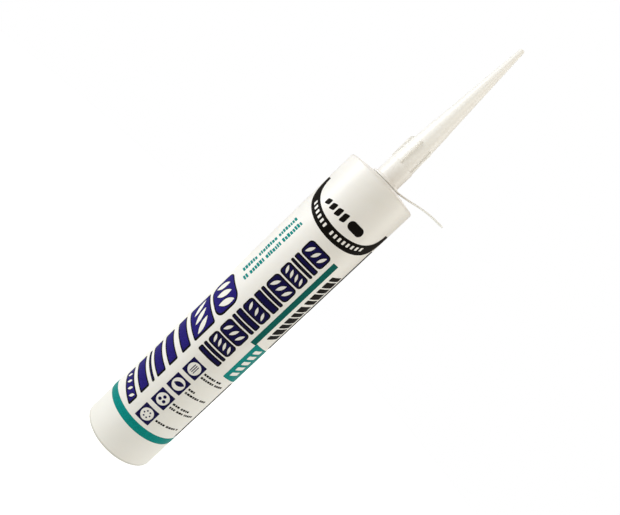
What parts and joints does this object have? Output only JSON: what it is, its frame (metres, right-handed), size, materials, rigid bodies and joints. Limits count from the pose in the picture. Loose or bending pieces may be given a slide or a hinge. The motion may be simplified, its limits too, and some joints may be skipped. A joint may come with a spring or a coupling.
{
  "type": "caulk tube",
  "caption": "Caulking-gun cartridge with an open tail and sliding plunger, a threaded neck and a long tapered nozzle with a side strap.",
  "frame": {"origin": "centre of the tail rim, on the plane that the cartridge stands on", "axes": "+Z along the cartridge's axis towards the nozzle, +X along the nozzle's strap, -Y the printed front"},
  "size_m": [0.066, 0.0488, 0.324],
  "materials": {
    "cartridge_hdpe": "white blow-fill grade high-density polyethylene, satin, with printed fields",
    "nozzle_ldpe": "milky white moulded low-density polyethylene, satin",
    "plunger_ldpe": "white moulded low-density polyethylene",
    "caulk_paste": "soft white acrylic paste"
  },
  "bodies": {
    "cartridge": {"cartridge": "cartridge_hdpe", "caulk": "caulk_paste"},
    "nozzle": {"nozzle": "nozzle_ldpe"},
    "plunger": {"plunger": "plunger_ldpe"}
  },
  "joints": [
    {"name": "plunger_slide", "type": "slide", "parent": "cartridge", "child": "plunger", "axis": [0, 0, 1], "range_m": [0, 0.1858], "deforming": ["caulk"]},
    {"name": "nozzle_lift", "type": "slide", "parent": "cartridge", "child": "nozzle", "axis": [0, 0, 1], "range_m": [0, 0.016]}
  ]
}
